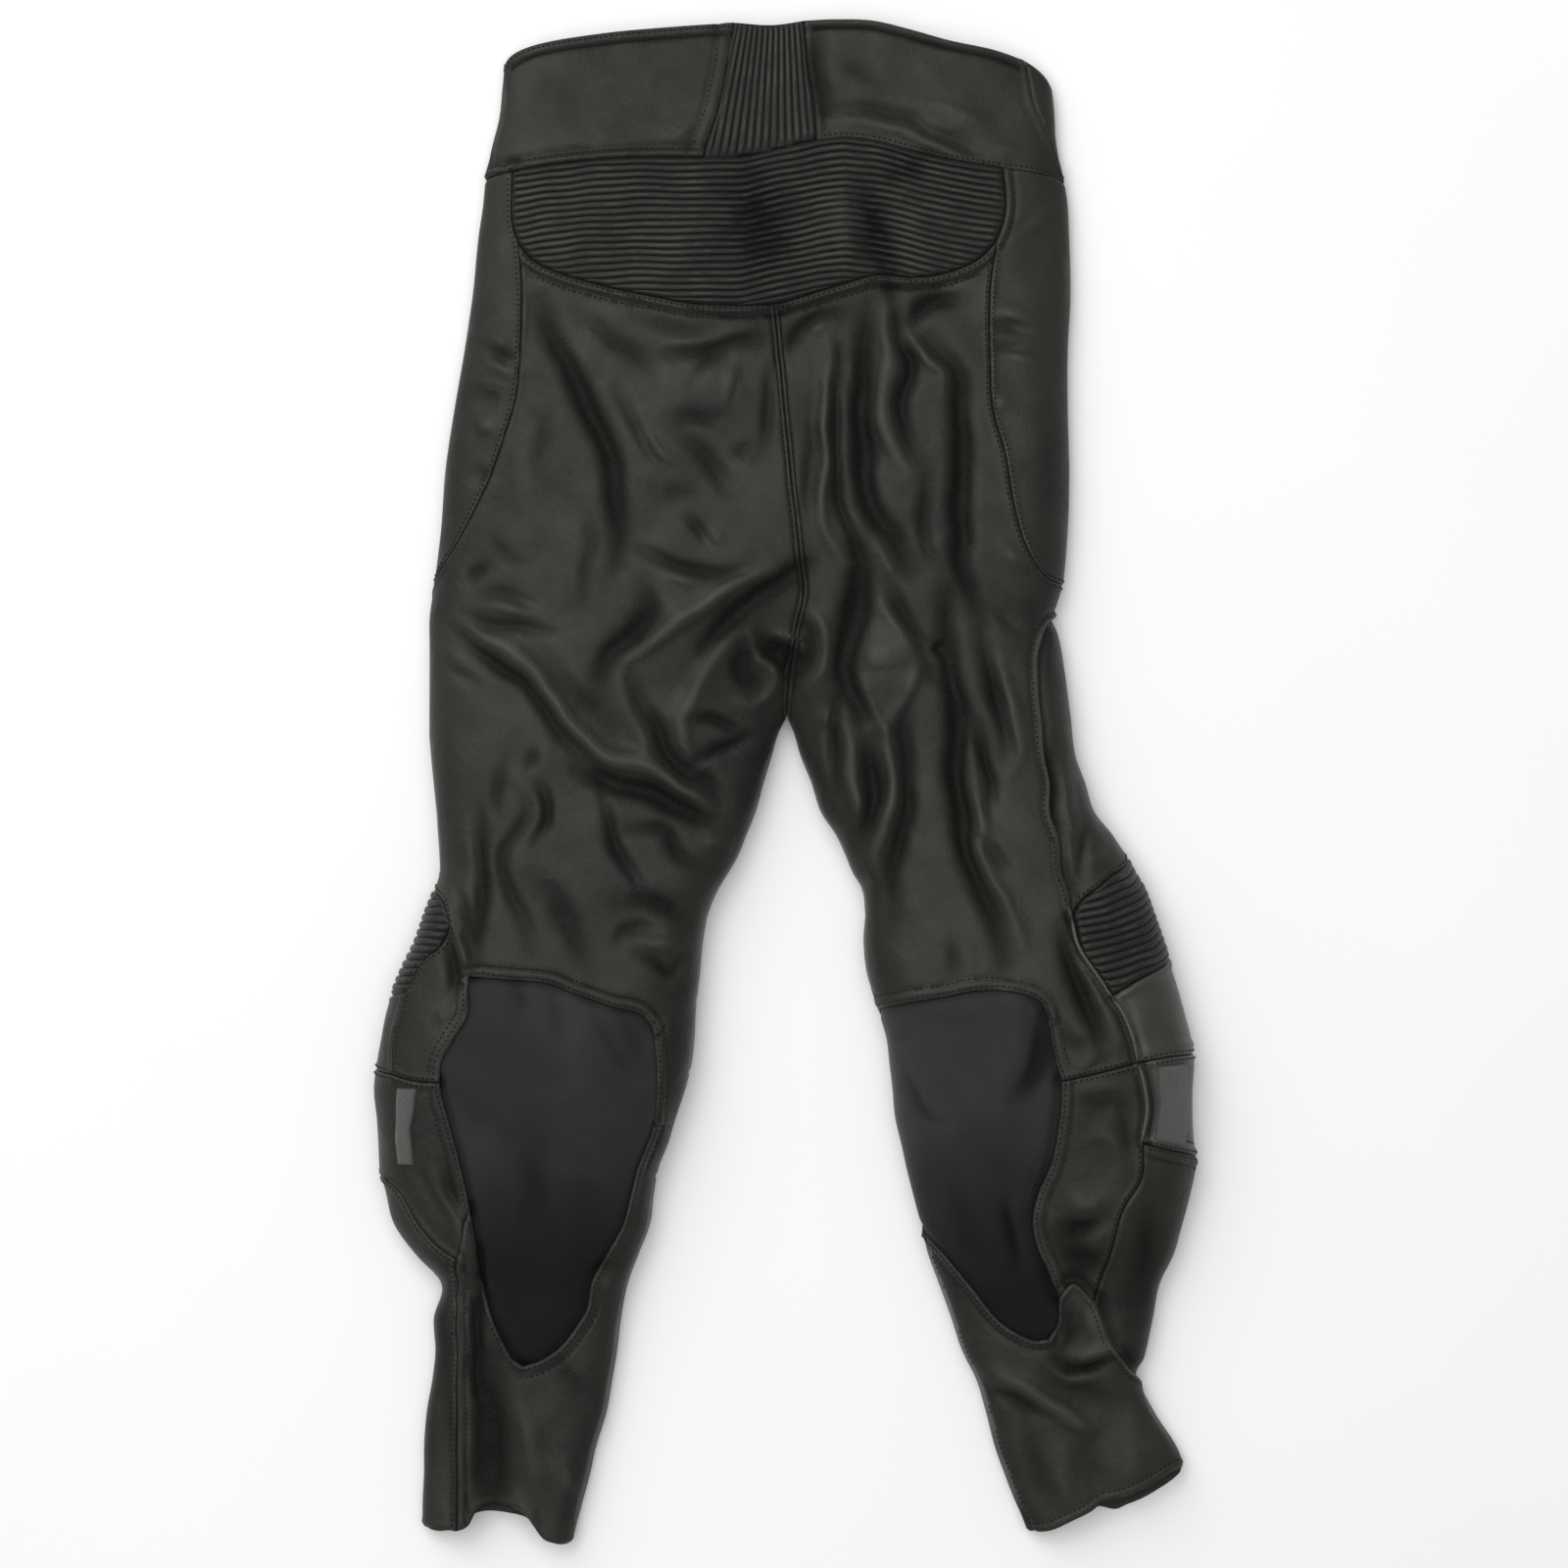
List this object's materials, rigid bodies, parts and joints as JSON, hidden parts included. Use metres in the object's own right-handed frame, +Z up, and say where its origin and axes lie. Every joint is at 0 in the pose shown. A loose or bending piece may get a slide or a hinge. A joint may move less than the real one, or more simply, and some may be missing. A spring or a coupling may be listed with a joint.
{
  "type": "leather motorcycle trousers",
  "caption": "Black leather riding trousers laid flat, back up, with ribbed stretch panels at waist, yoke and knees, stretch calf panels and knee slider patches.",
  "frame": {"origin": "centre of the bounding box's underside, on the surface the trousers lie on", "axes": "+Y from hems to waist, +Z up out of the back of the trousers, +X to the wearer's right"},
  "size_m": [0.5688, 1.0537, 0.0552],
  "materials": {
    "leather": "grained black cowhide, semi-matt",
    "ribbed_leather": "black leather sewn in narrow ribs, semi-matt",
    "stretch_fabric": "fine black stretch weave, matt",
    "loop_fabric": "grey-black loop pile, matt"
  },
  "bodies": {
    "root": {"waistband_back_left": "leather", "waist_ribs": "ribbed_leather", "waistband_back_right": "leather", "waistband_front_right": "leather", "waistband_front_left": "leather", "yoke_ribs": "ribbed_leather", "hip_left": "leather", "hip_right": "leather", "seat_left": "leather", "seat_right": "leather", "fly": "leather", "front_left": "leather", "front_right": "leather", "knee_ribs_left": "ribbed_leather", "knee_cup_left": "leather", "knee_cup_lower_left": "leather", "slider_patch_left": "loop_fabric", "shield_left": "stretch_fabric", "shin_left": "leather", "cuff_left": "leather", "knee_ribs_right": "ribbed_leather", "knee_cup_right": "leather", "knee_cup_lower_right": "leather", "slider_patch_right": "loop_fabric", "calf_side_right": "leather", "shield_right": "stretch_fabric", "shin_right": "leather", "cuff_right": "leather"}
  },
  "joints": []
}
